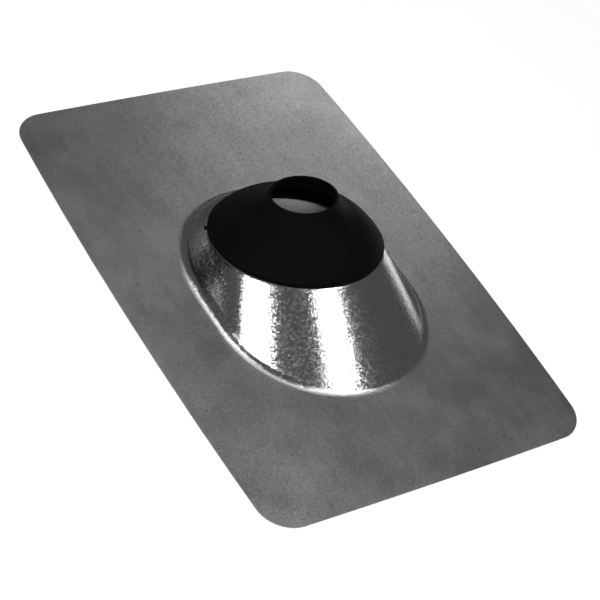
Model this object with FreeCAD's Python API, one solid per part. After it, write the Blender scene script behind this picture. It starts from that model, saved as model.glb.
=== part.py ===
import FreeCAD, Part
import math
import os

from FreeCAD import Placement, Rotation, Vector

# Pipe flashing boot for a small vent pipe. A plate of galvanised sheet lies on the roof deck, a cone
# drawn out of its middle carries a flexible collar, and the pipe stretches the lip of the collar.
# Frame: Z stands out of the roof, +Y points up the slope, the origin is under the middle of the plate.
# All sizes are millimetres and degrees.

# Base flashing, the plate
SHEET = 0.5                # thickness of the galvanised sheet
PLATE_WIDTH = 222.0        # across the slope, between the sharp corners of the blank
PLATE_LENGTH = 331.6       # along the slope, between the sharp corners of the blank
SIDE_BOW = 5.0             # how far each long edge swells outwards at its middle
END_BOW = 1.0              # how far each short edge swells outwards at its middle
CORNER_RADIUS = 19.0

# Base flashing, the drawn cone
FOOT_WIDTH = 129.8         # foot of the cone, where its wall would meet the plate with no bend
FOOT_LENGTH = 168.3
FOOT_SHIFT = -14.35        # middle of the foot, up the slope from the middle of the plate
FOOT_BEND = 9.0            # radius of the bend from the plate into the cone, on the top face
HEAD_TILT = 12.7           # the head of the cone leans down towards the top of the slope
HEAD_RISE = 22.3           # middle of the head, over the underside of the plate
HEAD_SHIFT = 7.7           # middle of the head, up the slope from the middle of the plate
HEAD_RADIUS = 52.7
HEAD_BEND = 2.5            # radius of the shoulder between the wall and the head, on the top face
MOUTH_RADIUS = 45.2        # hole in the head that the collar is snapped into

# Collar, a turned section about the axis of the head
COLLAR_RADIUS = 53.4
COLLAR_RISE = 29.7         # from the head of the cone up to the lip
COLLAR_WALL = 2.4
CORE_CONES = 2             # plain cones that the inside of the dome, and that of the neck, is cut in
EDGE_HEIGHT = 1.8          # upright outer edge
CREST_SLOPE = 21.0         # slope of the dome where it turns into the neck
NECK_RADIUS = 22.7         # hollow curve of the neck
NECK_SLOPE = 66.8          # slope of the neck where it ends in the lip
BORE_RADIUS = 19.3         # free opening of the lip
BORE_LENGTH = 4.0          # straight stretch of the bore
LIP_WALL = 1.4
SEAT_THICKNESS = 2.0       # ring that lies on the head of the cone
GROOVE_PLAY = 0.2          # between the mouth of the cone and the root of the groove
GROOVE_ROOT = 1.6          # rubber between the root of the groove and the throat
FLAP_REACH = 4.0           # ring under the sheet, out from the root of the groove
FLAP_THICKNESS = 1.6
NIB_ANGLE = 151.0          # torn moulding gate on the outer edge, counted from +X towards +Y
NIB_WIDTH = 3.0
NIB_REACH = 1.6
NIB_HEIGHT = 1.4

CUT_MARGIN = 20.0          # how far cutting bodies run past what they cut
FLATNESS = 1e-4            # how near to one height the points of an edge must lie
NOMINAL_TURN = 45.0        # usual angle that the sheet turns through at the foot and at the head

HEAD = Placement(Vector(0, HEAD_SHIFT, HEAD_RISE), Rotation(Vector(1, 0, 0), -HEAD_TILT))


def on_head(radius, height, angle=0.0):
    """A point by its radius, its height over the head of the cone and its angle from +X."""
    turn = math.radians(angle)
    return HEAD.multVec(Vector(radius * math.cos(turn), radius * math.sin(turn), height))


def arc_edge(start, middle, end):
    return Part.Arc(start, middle, end).toShape()


def line_edge(start, end):
    return Part.LineSegment(start, end).toShape()


# ---------------------------------------------------------------- base flashing
def plate_block(bottom, top):
    """The trimmed outline of the plate, as a block between two heights."""
    half_width = PLATE_WIDTH / 2
    half_length = PLATE_LENGTH / 2
    corners = [(half_width, -half_length), (half_width, half_length),
               (-half_width, half_length), (-half_width, -half_length)]
    swells = [(half_width + SIDE_BOW, 0), (0, half_length + END_BOW),
              (-half_width - SIDE_BOW, 0), (0, -half_length - END_BOW)]
    edges = []
    for index, swell in enumerate(swells):
        start = Vector(*corners[index], bottom)
        end = Vector(*corners[(index + 1) % 4], bottom)
        edges.append(arc_edge(start, Vector(*swell, bottom), end))
    block = Part.Face(Part.Wire(edges)).extrude(Vector(0, 0, top - bottom))
    uprights = [edge for edge in block.Edges if abs(edge.tangentAt(edge.FirstParameter).z) > 0.99]
    return block.makeFillet(CORNER_RADIUS, uprights)


def foot_edges(inset, height):
    """The foot of the cone: two half circles joined by straight sides."""
    radius = FOOT_WIDTH / 2 - inset
    straight = (FOOT_LENGTH - FOOT_WIDTH) / 2
    front = Vector(0, FOOT_SHIFT - straight, height)
    back = Vector(0, FOOT_SHIFT + straight, height)
    side = Vector(radius, 0, 0)
    reach = Vector(0, radius, 0)
    return [arc_edge(front - side, front - reach, front + side),
            line_edge(front + side, back + side),
            arc_edge(back + side, back + reach, back - side),
            line_edge(back - side, front - side)]


def head_edges(inset, depth, lengths):
    """The head circle, cut into arcs in the same proportion as the edges of the foot."""
    radius = HEAD_RADIUS - inset
    share = 360.0 / sum(lengths)
    angle = 270.0 - lengths[0] * share / 2
    edges = []
    for length in lengths:
        sweep = length * share
        edges.append(arc_edge(on_head(radius, -depth, angle),
                              on_head(radius, -depth, angle + sweep / 2),
                              on_head(radius, -depth, angle + sweep)))
        angle += sweep
    return edges


def edges_at(shape, frame, height):
    """The edges that lie wholly at one height of a frame."""
    to_frame = frame.inverse()
    return [edge for edge in shape.Edges
            if all(abs(to_frame.multVec(point).z - height) < FLATNESS for point in edge.discretize(5))]


def lies_on_foot(edge):
    """Whether an edge keeps within the rectangle round the foot of the cone."""
    return all(abs(point.x) < FOOT_WIDTH / 2 + SHEET
               and abs(point.y - FOOT_SHIFT) < FOOT_LENGTH / 2 + SHEET
               for point in edge.discretize(5))


def pressed_form(depth, ground):
    """The cone standing on some ground, with every face lowered by a depth into the sheet."""
    level = SHEET - depth
    inset = depth * math.tan(math.radians(NOMINAL_TURN / 2))
    foot = foot_edges(inset, level)
    head = head_edges(inset, depth, [edge.Length for edge in foot])
    cone = Part.makeLoft([Part.Wire(foot), Part.Wire(head)], True, True)
    cone = cone.makeFillet(HEAD_BEND - depth, edges_at(cone, HEAD, -depth))
    form = ground.fuse(cone)
    foot_line = [edge for edge in edges_at(form, Placement(), level) if lies_on_foot(edge)]
    return form.makeFillet(FOOT_BEND + depth, foot_line)


def base_flashing():
    """Plate and cone, one sheet throughout, with the mouth punched in the head."""
    outside = pressed_form(0, plate_block(0, SHEET))
    floor = Part.makeBox(PLATE_WIDTH * 2, PLATE_LENGTH * 2, CUT_MARGIN,
                         Vector(-PLATE_WIDTH, -PLATE_LENGTH, -CUT_MARGIN))
    inside = pressed_form(SHEET, floor)
    punch = Part.makeCylinder(MOUTH_RADIUS, 2 * CUT_MARGIN, Vector(0, 0, -CUT_MARGIN))
    punch.Placement = HEAD
    return outside.cut([inside, punch])


# ---------------------------------------------------------------- collar
def in_section(radius, height):
    return Vector(radius, 0, height)


def tangent_arc(start, slope, end):
    """An arc that leaves its start inwards at a slope and ends at a given point."""
    heading = Vector(-math.cos(math.radians(slope)), 0, math.sin(math.radians(slope)))
    chord = end - start
    across = Vector(heading.z, 0, -heading.x)
    radius = chord.dot(chord) / (2 * chord.dot(across))
    centre = start + across * radius
    middle = (start + end) * 0.5 - centre
    middle.normalize()
    return arc_edge(start, centre + middle * abs(radius), end)


def collar():
    """A dome with a neck and a lip, turned in one piece, over a groove that grips the mouth."""
    neck_end = in_section(BORE_RADIUS + LIP_WALL, COLLAR_RISE)
    neck_turn = math.radians(NECK_SLOPE)
    crest_turn = math.radians(CREST_SLOPE)
    neck_centre = neck_end + Vector(math.sin(neck_turn), 0, math.cos(neck_turn)) * NECK_RADIUS
    to_crest = Vector(-math.sin(crest_turn), 0, -math.cos(crest_turn))
    crest = neck_centre + to_crest * NECK_RADIUS
    inner_crest = crest + to_crest * COLLAR_WALL
    edge_top = in_section(COLLAR_RADIUS, EDGE_HEIGHT)
    dome = tangent_arc(crest, CREST_SLOPE + 180, edge_top)

    # the inside of the dome follows the outside at the thickness of the wall, down to the seat
    dome_centre = dome.Curve.Center
    inner_radius = dome.Curve.Radius - COLLAR_WALL
    drop = dome_centre.z - SEAT_THICKNESS
    inner_foot = in_section(dome_centre.x + math.sqrt(inner_radius ** 2 - drop ** 2), SEAT_THICKNESS)

    bore_end = in_section(BORE_RADIUS, COLLAR_RISE - BORE_LENGTH)
    groove = MOUTH_RADIUS - GROOVE_PLAY
    throat = groove - GROOVE_ROOT
    flap_edge = groove + FLAP_REACH
    flap_base = -SHEET - FLAP_THICKNESS
    grip = [inner_foot, in_section(throat, SEAT_THICKNESS), in_section(throat, flap_base),
            in_section(flap_edge, flap_base), in_section(flap_edge, -SHEET),
            in_section(groove, -SHEET), in_section(groove, 0),
            in_section(COLLAR_RADIUS, 0), edge_top]
    lip = [neck_end, in_section(BORE_RADIUS, COLLAR_RISE), bore_end]
    neck_core = tangent_arc(inner_crest, CREST_SLOPE, bore_end).discretize(CORE_CONES + 1)
    dome_core = tangent_arc(inner_crest, CREST_SLOPE + 180, inner_foot).discretize(CORE_CONES + 1)
    section = [line_edge(a, b) for points in (grip, lip, neck_core, dome_core)
               for a, b in zip(points, points[1:])]
    section += [dome, tangent_arc(crest, CREST_SLOPE, neck_end)]
    wire = Part.Wire(Part.sortEdges(section)[0])
    ring = Part.Face(wire).revolve(Vector(0, 0, 0), Vector(0, 0, 1), 360)
    nib = Part.makeBox(COLLAR_WALL + NIB_REACH, NIB_WIDTH, NIB_HEIGHT,
                       Vector(COLLAR_RADIUS - COLLAR_WALL, -NIB_WIDTH / 2, 0))
    nib.rotate(Vector(0, 0, 0), Vector(0, 0, 1), NIB_ANGLE)
    ring = ring.fuse(nib)
    ring.Placement = HEAD
    return ring


def save(shape, name):
    solid = shape.removeSplitter()
    if not solid.isValid() or len(solid.Solids) != 1:
        raise ValueError(name + " is not one valid solid")
    solid.Solids[0].exportStep("parts/" + name + ".step")


os.makedirs("parts", exist_ok=True)
save(base_flashing(), "base_flashing")
save(collar(), "collar")
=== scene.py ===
import math

import bmesh
import bpy
from mathutils import Matrix, Vector


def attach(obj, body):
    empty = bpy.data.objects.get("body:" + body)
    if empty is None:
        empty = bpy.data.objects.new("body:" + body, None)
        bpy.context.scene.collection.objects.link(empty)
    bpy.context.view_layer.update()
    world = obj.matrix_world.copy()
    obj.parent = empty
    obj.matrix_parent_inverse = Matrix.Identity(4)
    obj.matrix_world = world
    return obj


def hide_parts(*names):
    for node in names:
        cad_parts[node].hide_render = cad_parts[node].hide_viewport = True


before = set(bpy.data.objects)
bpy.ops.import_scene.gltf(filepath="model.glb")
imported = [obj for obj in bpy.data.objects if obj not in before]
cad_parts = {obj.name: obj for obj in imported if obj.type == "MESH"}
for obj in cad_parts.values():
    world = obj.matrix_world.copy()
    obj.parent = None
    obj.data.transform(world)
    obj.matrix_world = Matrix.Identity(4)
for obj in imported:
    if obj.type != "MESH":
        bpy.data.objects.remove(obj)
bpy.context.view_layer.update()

# ---- Base flashing -------------------------------------------------------------------------
# One sheet of hot-dip galvanised steel.  The plate keeps the flat satin of its zinc coat, and the
# oval cone is drawn up out of it in a press, with a round bend at its foot and a tight one at its
# head.  The sheet is sheared at its outline and punched at the mouth, so those edges stay sharp.
MM = 0.001
HAIR = 0.01 * MM                                 # points nearer than this count as one place
CREASE = math.radians(35.0)                      # edges that turn more than this look sharp
SHEET = 0.5 * MM
PLATE_HALF = Vector((111.0, 165.8)) * MM         # to the sharp corners of the blank
SIDE_BOW, END_BOW, BOW_STEPS = 5.0 * MM, 1.0 * MM, 8
PLATE_CORNER, CORNER_STEPS = 19.0 * MM, 18
FOOT_RADIUS, FOOT_STRAIGHT, FOOT_Y = 64.9 * MM, 38.5 * MM, -14.35 * MM
FOOT_BAND = 9.0 * MM                             # flat ring that is kept round the foot
HEAD_CENTRE, HEAD_TILT = Vector((0.0, 7.7, 22.3)) * MM, math.radians(12.7)
HEAD_RADIUS, MOUTH_RADIUS = 52.7 * MM, 45.2 * MM
FOOT_BEND, FOOT_BEND_STEPS = 9.0 * MM, 10
HEAD_BEND, HEAD_BEND_STEPS = 5.0 * MM, 6
ARC_STEPS, SIDE_STEPS = 106, 20                  # round each end of the foot, and along each side
AROUND = 2 * (ARC_STEPS + SIDE_STEPS)

bpy.ops.object.select_all(action="DESELECT")
bpy.ops.mesh.primitive_circle_add(vertices=2 * ARC_STEPS, radius=FOOT_RADIUS,
                                  location=(0.0, 0.0, 0.0))
flashing = bpy.context.object
flashing.name = "drawn_flashing"


def pick(mesh, kind, wanted):
    # in edit mode, selects the elements that the rule wants, and nothing else
    bpy.ops.mesh.select_mode(type={"verts": "VERT", "edges": "EDGE", "faces": "FACE"}[kind])
    bpy.ops.mesh.select_all(action="DESELECT")
    shape = bmesh.from_edit_mesh(mesh)
    for element in getattr(shape, kind):
        element.select_set(wanted(element))
    shape.select_flush_mode()
    bmesh.update_edit_mesh(mesh)


def middle(edge):
    return (edge.verts[0].co + edge.verts[1].co) / 2


# the foot of the cone: a half circle, its twin across the middle, and straight sides between
bpy.ops.object.mode_set(mode="EDIT")
pick(flashing.data, "verts", lambda v: v.co.y > HAIR)
bpy.ops.mesh.delete(type="VERT")
bpy.ops.mesh.select_all(action="SELECT")
bpy.ops.transform.translate(value=(0.0, FOOT_Y - FOOT_STRAIGHT / 2, SHEET))
bpy.ops.mesh.duplicate()
bpy.ops.transform.rotate(value=math.pi, orient_axis="Z", center_override=(0.0, FOOT_Y, 0.0))
for side in (-1, 1):
    pick(flashing.data, "verts", lambda v: v.co.x * side > FOOT_RADIUS - HAIR)
    bpy.ops.mesh.edge_face_add()
    bpy.ops.mesh.subdivide(number_cuts=SIDE_STEPS - 1)

# the plate round the foot: the foot widened on the flat
bpy.ops.mesh.select_all(action="SELECT")
bpy.ops.mesh.extrude_edges_move()
half_length = FOOT_RADIUS + FOOT_STRAIGHT / 2
bpy.ops.transform.resize(value=(1 + FOOT_BAND / FOOT_RADIUS, 1 + FOOT_BAND / half_length, 1.0),
                         center_override=(0.0, FOOT_Y, SHEET))


def on_foot(point):
    reach = Vector((abs(point.x), max(abs(point.y - FOOT_Y) - FOOT_STRAIGHT / 2, 0.0)))
    return abs(reach.length - FOOT_RADIUS) < 2 * HAIR and abs(point.z - SHEET) < HAIR


# the head, its flat turned in to the mouth, and the wall ruled between foot and head
head_axis = Vector((0.0, math.sin(HEAD_TILT), math.cos(HEAD_TILT)))
bpy.ops.mesh.select_all(action="DESELECT")
bpy.ops.mesh.primitive_circle_add(vertices=AROUND, radius=HEAD_RADIUS, location=HEAD_CENTRE,
                                  rotation=(-HEAD_TILT, 0.0, 0.0))


def on_head(point):
    arm = point - HEAD_CENTRE
    return abs(arm.length - HEAD_RADIUS) < 2 * HAIR and abs(arm.dot(head_axis)) < 2 * HAIR


def lies(ring, edge):
    # whether both ends of an edge are on a ring
    return all(ring(v.co) for v in edge.verts)


pick(flashing.data, "edges", lambda e: lies(on_foot, e) or lies(on_head, e))
bpy.ops.mesh.bridge_edge_loops()
pick(flashing.data, "edges", lambda e: lies(on_head, e))
bpy.ops.mesh.extrude_edges_move()
inward = MOUTH_RADIUS / HEAD_RADIUS
bpy.ops.transform.resize(value=(inward, inward, inward), center_override=HEAD_CENTRE)

# the outline of the blank: four shallow arcs, with its corners rounded, filled in to the foot
bpy.ops.mesh.select_all(action="DESELECT")
bpy.ops.mesh.primitive_plane_add(size=1.0, location=(0.0, 0.0, SHEET))
bpy.ops.transform.resize(value=(2 * PLATE_HALF.x, 2 * PLATE_HALF.y, 1.0),
                         center_override=(0.0, 0.0, SHEET))
bpy.ops.mesh.delete(type="ONLY_FACE")


def at_corner(v):
    return abs(abs(v.co.x) - PLATE_HALF.x) < HAIR and abs(abs(v.co.y) - PLATE_HALF.y) < HAIR


pick(flashing.data, "edges", lambda e: all(at_corner(v) for v in e.verts))
bpy.ops.mesh.subdivide(number_cuts=BOW_STEPS - 1)
blank = bmesh.from_edit_mesh(flashing.data)
for v in blank.verts:
    if abs(abs(v.co.x) - PLATE_HALF.x) < HAIR:
        v.co.x += math.copysign(SIDE_BOW * (1 - (v.co.y / PLATE_HALF.y) ** 2), v.co.x)
    elif abs(abs(v.co.y) - PLATE_HALF.y) < HAIR:
        v.co.y += math.copysign(END_BOW * (1 - (v.co.x / PLATE_HALF.x) ** 2), v.co.y)
bmesh.update_edit_mesh(flashing.data)
pick(flashing.data, "verts", at_corner)
bpy.ops.mesh.bevel(affect="VERTICES", offset=PLATE_CORNER, offset_type="OFFSET",
                   segments=CORNER_STEPS)
pick(flashing.data, "edges", lambda e: len(e.link_faces) < 2 and abs(middle(e).z - SHEET) < HAIR)
bpy.ops.mesh.fill(use_beauty=True)
bpy.ops.mesh.select_all(action="SELECT")
bpy.ops.mesh.normals_make_consistent(inside=False)
bpy.ops.object.mode_set(mode="OBJECT")


def round_bend(ring, radius, segments):
    # rounds a ring of edges to one radius all the way round, however much the sheet turns there
    shape = bmesh.new()
    shape.from_mesh(flashing.data)
    weights = shape.edges.layers.float.get("bevel_weight_edge") or \
        shape.edges.layers.float.new("bevel_weight_edge")
    reach = {e: math.tan(e.calc_face_angle() / 2) if lies(ring, e) else 0.0
             for e in shape.edges}
    longest = max(reach.values())
    for edge, amount in reach.items():
        edge[weights] = amount / longest
    shape.to_mesh(flashing.data)
    shape.free()
    bend = flashing.modifiers.new("bend", "BEVEL")
    bend.limit_method = "WEIGHT"
    bend.width = radius * longest
    bend.segments = segments
    bend.use_clamp_overlap = False
    bpy.ops.object.modifier_apply(modifier=bend.name)


bpy.context.view_layer.objects.active = flashing
round_bend(on_foot, FOOT_BEND, FOOT_BEND_STEPS)
round_bend(on_head, HEAD_BEND, HEAD_BEND_STEPS)
gauge = flashing.modifiers.new("gauge", "SOLIDIFY")
gauge.thickness = SHEET
gauge.offset = -1.0
gauge.use_even_offset = True
bpy.ops.object.modifier_apply(modifier=gauge.name)
bpy.ops.object.shade_smooth_by_angle(angle=CREASE)

# the zinc coat: satin with soft clouds and a few dark specks on the plate, burnished on the cone
zinc = bpy.data.materials.new("galvanised_steel")
zinc.use_nodes = True
tree = zinc.node_tree
shader = tree.nodes["Principled BSDF"]
shader.inputs["Metallic"].default_value = 1.0
place = tree.nodes.new("ShaderNodeTexCoord")


def noise(scale, detail, stretch=(1.0, 1.0, 1.0)):
    # a noise on the object's own coordinates, drawn out along the sheet where it is stretched
    mapping = tree.nodes.new("ShaderNodeMapping")
    mapping.inputs["Scale"].default_value = stretch
    tree.links.new(place.outputs["Object"], mapping.inputs["Vector"])
    grain = tree.nodes.new("ShaderNodeTexNoise")
    grain.inputs["Scale"].default_value = scale
    grain.inputs["Detail"].default_value = detail
    grain.inputs["Roughness"].default_value = 0.6
    tree.links.new(mapping.outputs["Vector"], grain.inputs["Vector"])
    return grain.outputs["Fac"]


def graded(where, value, low_in, high_in, low_out, high_out):
    # a value moved smoothly from one range to another, and held at its ends
    step = where.nodes.new("ShaderNodeMapRange")
    step.interpolation_type = "SMOOTHSTEP"
    for name, number in (("From Min", low_in), ("From Max", high_in),
                         ("To Min", low_out), ("To Max", high_out)):
        step.inputs[name].default_value = number
    where.links.new(value, step.inputs["Value"])
    return step.outputs["Result"]


def combined(where, operation, first, second):
    join = where.nodes.new("ShaderNodeMath")
    join.operation = operation
    for socket, value in zip(join.inputs, (first, second)):
        if isinstance(value, float):
            socket.default_value = value
        else:
            where.links.new(value, socket)
    return join.outputs["Value"]


def varied(grain, low, high):
    # a noise spread from low to high, with the ends of its own range cut off
    return graded(tree, grain, 0.3, 0.7, low, high)


def by_place(on_plate, on_cone):
    # one look on the flat of the plate and another on the drawn cone, with a short blend between
    return combined(tree, "ADD", combined(tree, "MULTIPLY", on_plate, flat),
                    combined(tree, "MULTIPLY", on_cone, drawn))


BLEND_FROM, BLEND_TO = 0.5 * MM, 1.6 * MM        # height in the foot bend
PLATE_TONE, CONE_TONE = 0.37, 0.62
apart = tree.nodes.new("ShaderNodeSeparateXYZ")
tree.links.new(place.outputs["Object"], apart.inputs["Vector"])
drawn = graded(tree, apart.outputs["Z"], BLEND_FROM, BLEND_TO, 0.0, 1.0)
flat = combined(tree, "SUBTRACT", 1.0, drawn)
clouds = varied(noise(16.0, 5.0), 0.88, 1.12)
streaks = varied(noise(150.0, 4.0, (1.0, 0.12, 1.0)), 0.96, 1.04)
mottle = varied(noise(520.0, 3.0), 0.94, 1.06)
specks = graded(tree, noise(330.0, 1.0), 0.24, 0.29, 0.72, 1.0)
coat = combined(tree, "MULTIPLY", combined(tree, "MULTIPLY", clouds, streaks),
                combined(tree, "MULTIPLY", mottle, specks))
tone = by_place(combined(tree, "MULTIPLY", coat, PLATE_TONE),
                combined(tree, "MULTIPLY", mottle, CONE_TONE))
grey = tree.nodes.new("ShaderNodeCombineColor")
for channel in ("Red", "Green", "Blue"):
    tree.links.new(tone, grey.inputs[channel])
tree.links.new(grey.outputs["Color"], shader.inputs["Base Color"])
plate_gloss = varied(noise(40.0, 4.0), 0.31, 0.36)
cone_gloss = graded(tree, noise(500.0, 2.0), 0.35, 0.65, 0.11, 0.20)
tree.links.new(by_place(plate_gloss, cone_gloss), shader.inputs["Roughness"])

# each fine crystal of the zinc lies a hair off the level of the sheet, so the steel sparkles
CRYSTALS_PER_METRE, CRYSTAL_TILT = 2300.0, 0.11
PITS_PER_METRE, PIT_DEPTH = 1200.0, 0.015 * MM
pitting = tree.nodes.new("ShaderNodeBump")
pitting.inputs["Strength"].default_value = 1.0
pitting.inputs["Distance"].default_value = PIT_DEPTH
tree.links.new(noise(PITS_PER_METRE, 1.0), pitting.inputs["Height"])
sheet_way = tree.nodes.new("ShaderNodeNewGeometry")
crystals = tree.nodes.new("ShaderNodeTexVoronoi")
crystals.inputs["Scale"].default_value = CRYSTALS_PER_METRE
tree.links.new(place.outputs["Object"], crystals.inputs["Vector"])
tilt = tree.nodes.new("ShaderNodeVectorMath")
tilt.operation = "MULTIPLY_ADD"
tree.links.new(crystals.outputs["Color"], tilt.inputs[0])
tilt.inputs[1].default_value = 3 * (CRYSTAL_TILT,)
tree.links.new(sheet_way.outputs["Normal"], tilt.inputs[2])
centred = tree.nodes.new("ShaderNodeVectorMath")
centred.operation = "SUBTRACT"
tree.links.new(tilt.outputs["Vector"], centred.inputs[0])
centred.inputs[1].default_value = 3 * (CRYSTAL_TILT / 2,)
crystal_way = tree.nodes.new("ShaderNodeVectorMath")
crystal_way.operation = "NORMALIZE"
tree.links.new(centred.outputs["Vector"], crystal_way.inputs[0])
tree.links.new(crystal_way.outputs["Vector"], pitting.inputs["Normal"])
tree.links.new(pitting.outputs["Normal"], shader.inputs["Normal"])
flashing.data.materials.append(zinc)
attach(flashing, "root")
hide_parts("base_flashing")

# ---- Collar --------------------------------------------------------------------------------
# A dome of black moulded rubber, turned about the axis of the head.  Its groove is snapped over
# the mouth of the cone.  The neck is soft, so it leans a little, and the lip grips the pipe.
RIM_RADIUS, RIM_HEIGHT = 53.4 * MM, 1.8 * MM
NECK_ARC, CREST_SLOPE, NECK_SLOPE = 22.7 * MM, math.radians(21.0), math.radians(66.8)
LIP_RADIUS, LIP_HEIGHT, LIP_WALL = 19.3 * MM, 29.7 * MM, 1.4 * MM
BORE_LENGTH = 4.0 * MM                           # straight stretch inside the lip
COLLAR_WALL, SEAT = 2.4 * MM, 2.0 * MM
THROAT_RADIUS, GROOVE_RADIUS = 43.4 * MM, 45.0 * MM
FLAP_RADIUS, FLAP = 49.0 * MM, 1.6 * MM
THROAT_FLARE = 2.2 * MM                          # the throat opens out through the flap
COLLAR_AROUND, DOME_STEPS, NECK_STEPS, INNER_STEPS = 160, 18, 14, 10
LEAN_FROM = 6.0 * MM                             # height where the neck starts to lean
LEAN = Vector((0.0, -0.6, 0.0)) * MM             # of the lip, where the neck has settled
LIP_TURN, LIP_TIP = math.radians(-5.5), math.radians(1.0)

# the section, as points by their radius and their height over the head of the cone
neck_way = Vector((math.sin(NECK_SLOPE), math.cos(NECK_SLOPE)))
crest_way = Vector((math.sin(CREST_SLOPE), math.cos(CREST_SLOPE)))
neck_end = Vector((LIP_RADIUS + LIP_WALL, LIP_HEIGHT))
neck_hub = neck_end + neck_way * NECK_ARC
crest = neck_hub - crest_way * NECK_ARC
rim = Vector((RIM_RADIUS, RIM_HEIGHT))
chord = rim - crest
dome_radius = chord.length_squared / (2 * chord.dot(-crest_way))
dome_hub = crest - crest_way * dome_radius


def swept(hub, radius, start, end, steps):
    # points along an arc of the section, from one point to another, both included
    first = math.atan2(start.y - hub.y, start.x - hub.x)
    last = math.atan2(end.y - hub.y, end.x - hub.x)
    return [hub + radius * Vector((math.cos(first + (last - first) * i / steps),
                                   math.sin(first + (last - first) * i / steps)))
            for i in range(steps + 1)]


inner_dome, inner_arc = dome_radius - COLLAR_WALL, NECK_ARC + COLLAR_WALL
inner_foot = Vector((dome_hub.x + math.sqrt(inner_dome ** 2 - (dome_hub.y - SEAT) ** 2), SEAT))
inner_crest = neck_hub - crest_way * inner_arc
bore_end = Vector((LIP_RADIUS, LIP_HEIGHT - BORE_LENGTH))
bore_arc = (bore_end - neck_hub).length
section = [Vector((RIM_RADIUS, 0.0))] + swept(dome_hub, dome_radius, rim, crest, DOME_STEPS)[:-1]
section += swept(neck_hub, NECK_ARC, crest, neck_end, NECK_STEPS)
section += [Vector((LIP_RADIUS, LIP_HEIGHT)), bore_end]
inner_neck = swept(neck_hub, bore_arc, bore_end, inner_crest, INNER_STEPS)
section += [neck_hub + (p - neck_hub).normalized() *
            (bore_arc * (1 - i / INNER_STEPS) + inner_arc * i / INNER_STEPS)
            for i, p in enumerate(inner_neck)][1:]
section += swept(dome_hub, inner_dome, inner_crest, inner_foot, INNER_STEPS)[1:]
section += [Vector((THROAT_RADIUS, SEAT)), Vector((THROAT_RADIUS, 0.0)),
            Vector((THROAT_RADIUS + THROAT_FLARE, -SHEET - FLAP)),
            Vector((FLAP_RADIUS, -SHEET - FLAP)), Vector((FLAP_RADIUS, -SHEET)),
            Vector((GROOVE_RADIUS, -SHEET)), Vector((GROOVE_RADIUS, 0.0))]

# a ring at the foot of the rim, extruded along the section and closed on itself
bpy.ops.object.select_all(action="DESELECT")
bpy.ops.mesh.primitive_circle_add(vertices=COLLAR_AROUND, radius=section[0].x,
                                  location=(0.0, 0.0, 0.0))
collar = bpy.context.object
collar.name = "rubber_collar"
bpy.ops.object.mode_set(mode="EDIT")
bpy.ops.mesh.select_all(action="SELECT")
for here, there in zip(section, section[1:]):
    bpy.ops.mesh.extrude_edges_move(
        TRANSFORM_OT_translate={"value": (0.0, 0.0, there.y - here.y)})
    bpy.ops.transform.resize(value=(there.x / here.x, there.x / here.x, 1.0),
                             center_override=(0.0, 0.0, there.y))
pick(collar.data, "edges", lambda e: len(e.link_faces) < 2)
bpy.ops.mesh.bridge_edge_loops()
bpy.ops.mesh.select_all(action="SELECT")
bpy.ops.mesh.normals_make_consistent(inside=False)

# the neck leans and turns more and more towards the lip
moulding = bmesh.from_edit_mesh(collar.data)
for v in moulding.verts:
    share = (max(v.co.z - LEAN_FROM, 0.0) / (LIP_HEIGHT - LEAN_FROM)) ** 2
    settle = Matrix.Rotation(LIP_TURN * share, 3, "Y") @ Matrix.Rotation(-LIP_TIP * share, 3, "X")
    hub = Vector((0.0, 0.0, v.co.z))
    v.co = hub + settle @ (v.co - hub) + LEAN * share
bmesh.update_edit_mesh(collar.data)

# the torn gate of the mould, a rough nib on the rim
NIB_TURN, NIB_WIDTH, NIB_REACH, NIB_RISE = math.radians(151.0), 3.0 * MM, 1.6 * MM, 1.4 * MM
NIB_ROOT = 1.0 * MM                              # how deep the nib starts inside the rim
NIB_EDGE = 0.3 * MM
bpy.ops.mesh.select_all(action="DESELECT")
bpy.ops.mesh.primitive_cube_add(size=1.0, location=(0.0, 0.0, 0.0))
bpy.ops.transform.resize(value=(NIB_ROOT + NIB_REACH, NIB_WIDTH, NIB_RISE),
                         center_override=(0.0, 0.0, 0.0))
bpy.ops.mesh.bevel(offset=NIB_EDGE, segments=2)
bpy.ops.transform.translate(value=(RIM_RADIUS + (NIB_REACH - NIB_ROOT) / 2, 0.0, NIB_RISE / 2))
bpy.ops.transform.rotate(value=-NIB_TURN, orient_axis="Z", center_override=(0.0, 0.0, 0.0))

# seated on the head of the cone
bpy.ops.mesh.select_all(action="SELECT")
bpy.ops.transform.rotate(value=HEAD_TILT, orient_axis="X", center_override=(0.0, 0.0, 0.0))
bpy.ops.transform.translate(value=HEAD_CENTRE)
bpy.ops.object.mode_set(mode="OBJECT")
bpy.ops.object.shade_smooth_by_angle(angle=CREASE)

rubber = bpy.data.materials.new("rubber")
rubber.use_nodes = True
shader = rubber.node_tree.nodes["Principled BSDF"]
shader.inputs["Base Color"].default_value = (0.0034, 0.0034, 0.0034, 1.0)
shader.inputs["Roughness"].default_value = 0.6
shader.inputs["Specular IOR Level"].default_value = 0.03
collar.data.materials.append(rubber)
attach(collar, "root")
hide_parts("collar")

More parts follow.
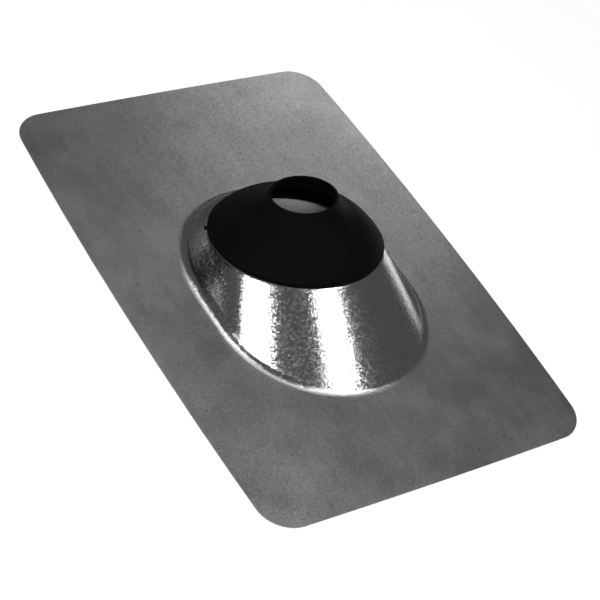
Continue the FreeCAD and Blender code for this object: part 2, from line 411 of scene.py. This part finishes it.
# ---- Floor ---------------------------------------------------------------------------------
# Plain pale paper, a hair below the plate so that no two faces share a plane.  It glows a little
# to the camera and in reflections, which whitens the background, but not under the boot.
FLOOR_SIZE, FLOOR_DROP = 12.0, 0.05 * MM
GLOW, DARK_WITHIN, FULL_BEYOND = 0.22, 85.0 * MM, 95.0 * MM
bpy.ops.mesh.primitive_plane_add(size=FLOOR_SIZE, location=(0.0, 0.0, -FLOOR_DROP))
floor = bpy.context.object
floor.name = "floor"
paper = bpy.data.materials.new("floor_paper")
paper.use_nodes = True
tree = paper.node_tree
shader = tree.nodes["Principled BSDF"]
shader.inputs["Base Color"].default_value = (0.95, 0.95, 0.95, 1.0)
shader.inputs["Roughness"].default_value = 0.9
shader.inputs["Specular IOR Level"].default_value = 0.0
shader.inputs["Emission Color"].default_value = (1.0, 1.0, 1.0, 1.0)
ray = tree.nodes.new("ShaderNodeLightPath")
seen = combined(tree, "MAXIMUM", ray.outputs["Is Camera Ray"],
                combined(tree, "MAXIMUM", ray.outputs["Is Glossy Ray"],
                         ray.outputs["Is Transmission Ray"]))
spot = tree.nodes.new("ShaderNodeTexCoord")
away = tree.nodes.new("ShaderNodeVectorMath")
away.operation = "LENGTH"
tree.links.new(spot.outputs["Object"], away.inputs[0])
open_floor = graded(tree, away.outputs["Value"], DARK_WITHIN, FULL_BEYOND, 0.0, 1.0)
glow = combined(tree, "MULTIPLY", combined(tree, "MULTIPLY", seen, open_floor), GLOW)
tree.links.new(glow, shader.inputs["Emission Strength"])
floor.data.materials.append(paper)

# ---- Black cards ---------------------------------------------------------------------------
# Two black studio cards, one along the left side and one behind, each on its long edge.  Only
# reflections show them: they keep the bright floor out of the polished walls of the cone.
CARD_LIFT = 1.0 * MM
black = bpy.data.materials.new("card_black")
black.use_nodes = True
shader = black.node_tree.nodes["Principled BSDF"]
shader.inputs["Base Color"].default_value = (0.02, 0.02, 0.02, 1.0)
shader.inputs["Roughness"].default_value = 0.9


def black_card(name, length, height, turn, x, y):
    # stands a card on its long edge, turned about the upright, with its middle at x and y
    bpy.ops.object.select_all(action="DESELECT")
    bpy.ops.mesh.primitive_plane_add(size=1.0, location=(0.0, 0.0, 0.0))
    card = bpy.context.object
    card.name = name
    bpy.ops.object.mode_set(mode="EDIT")
    bpy.ops.transform.resize(value=(length, height, 1.0), center_override=(0.0, 0.0, 0.0))
    for axis, angle in (("X", math.pi / 2), ("Z", turn)):
        bpy.ops.transform.rotate(value=angle, orient_axis=axis, center_override=(0.0, 0.0, 0.0))
    bpy.ops.transform.translate(value=(x, y, CARD_LIFT + height / 2))
    bpy.ops.object.mode_set(mode="OBJECT")
    card.visible_camera = card.visible_diffuse = card.visible_shadow = False
    card.data.materials.append(black)


black_card("left_card", 0.48, 0.08, math.pi / 2, -0.13, 0.29)
black_card("end_card", 0.14, 0.015, 0.0, -0.06, 0.20)

# ---- Light ---------------------------------------------------------------------------------
# A dim grey room with flat soft lamps, each facing the boot.  The left and front ones make the
# bright bands of the cone, and the plate mirrors the low one behind it.
ROOM = (0.09, 0.09, 0.09, 1.0)
world = bpy.data.worlds.new("studio")
bpy.context.scene.world = world
world.use_nodes = True
world.node_tree.nodes["Background"].inputs["Color"].default_value = ROOM
world.node_tree.nodes["Background"].inputs["Strength"].default_value = 1.0


def softbox(name, azimuth, elevation, distance, width, height, power):
    # a flat lamp that faces the origin, placed by degrees from +X and above the floor
    a, e = math.radians(azimuth), math.radians(elevation)
    way = Vector((math.cos(a) * math.cos(e), math.sin(a) * math.cos(e), math.sin(e)))
    bpy.ops.object.light_add(type="AREA", location=way * distance)
    lamp = bpy.context.object
    lamp.name = name
    lamp.data.shape = "RECTANGLE"
    lamp.data.size = width
    lamp.data.size_y = height
    lamp.data.energy = power
    lamp.rotation_euler = way.to_track_quat("Z", "Y").to_euler()


# direction in degrees, then distance, width and height in metres, and watts
softbox("left_softbox", 172.5, 41.5, 1.6, 0.35, 0.65, 5.0)
softbox("second_left_softbox", -167.5, 50.5, 1.6, 0.15, 0.15, 1.0)
softbox("front_softbox", -63, 62.5, 1.6, 0.32, 0.40, 4.2)
softbox("right_softbox", -30, 68, 1.6, 0.4, 0.5, 2.4)
softbox("top_softbox", 20, 73, 1.6, 0.8, 0.25, 2.0)
softbox("back_softbox", 98, 66, 1.6, 0.6, 0.5, 3.4)
softbox("low_back_softbox", 45, 26, 0.9, 0.4, 0.22, 0.5)
softbox("lip_softbox", -130, 42, 1.6, 0.25, 0.25, 7.5)

# ---- Camera --------------------------------------------------------------------------------
# A long lens about a metre from the boot, to its front left and some 44 degrees up, turned on
# its own axis.
LENS, SENSOR = 104.34, 36.0
AIM, DISTANCE = Vector((-0.00794, -0.02230, 0.0)), 1.0342
AZIMUTH, RISE, ROLL = math.radians(-46.49), math.radians(43.61), math.radians(21.52)
bpy.ops.object.camera_add(location=(0.0, 0.0, 0.0))
camera = bpy.context.object
camera.name = "camera"
camera.data.lens = LENS
camera.data.sensor_width = SENSOR
back = Vector((math.sin(AZIMUTH) * math.cos(RISE), -math.cos(AZIMUTH) * math.cos(RISE),
               math.sin(RISE)))
sideways = Vector((math.cos(AZIMUTH), math.sin(AZIMUTH), 0.0))
upright = back.cross(sideways)
right = math.cos(ROLL) * sideways + math.sin(ROLL) * upright
up = back.cross(right)
stand = Matrix((right, up, back)).transposed().to_4x4()
stand.translation = AIM + back * DISTANCE
camera.matrix_world = stand
bpy.context.scene.camera = camera
bpy.context.scene.view_settings.view_transform = "Standard"
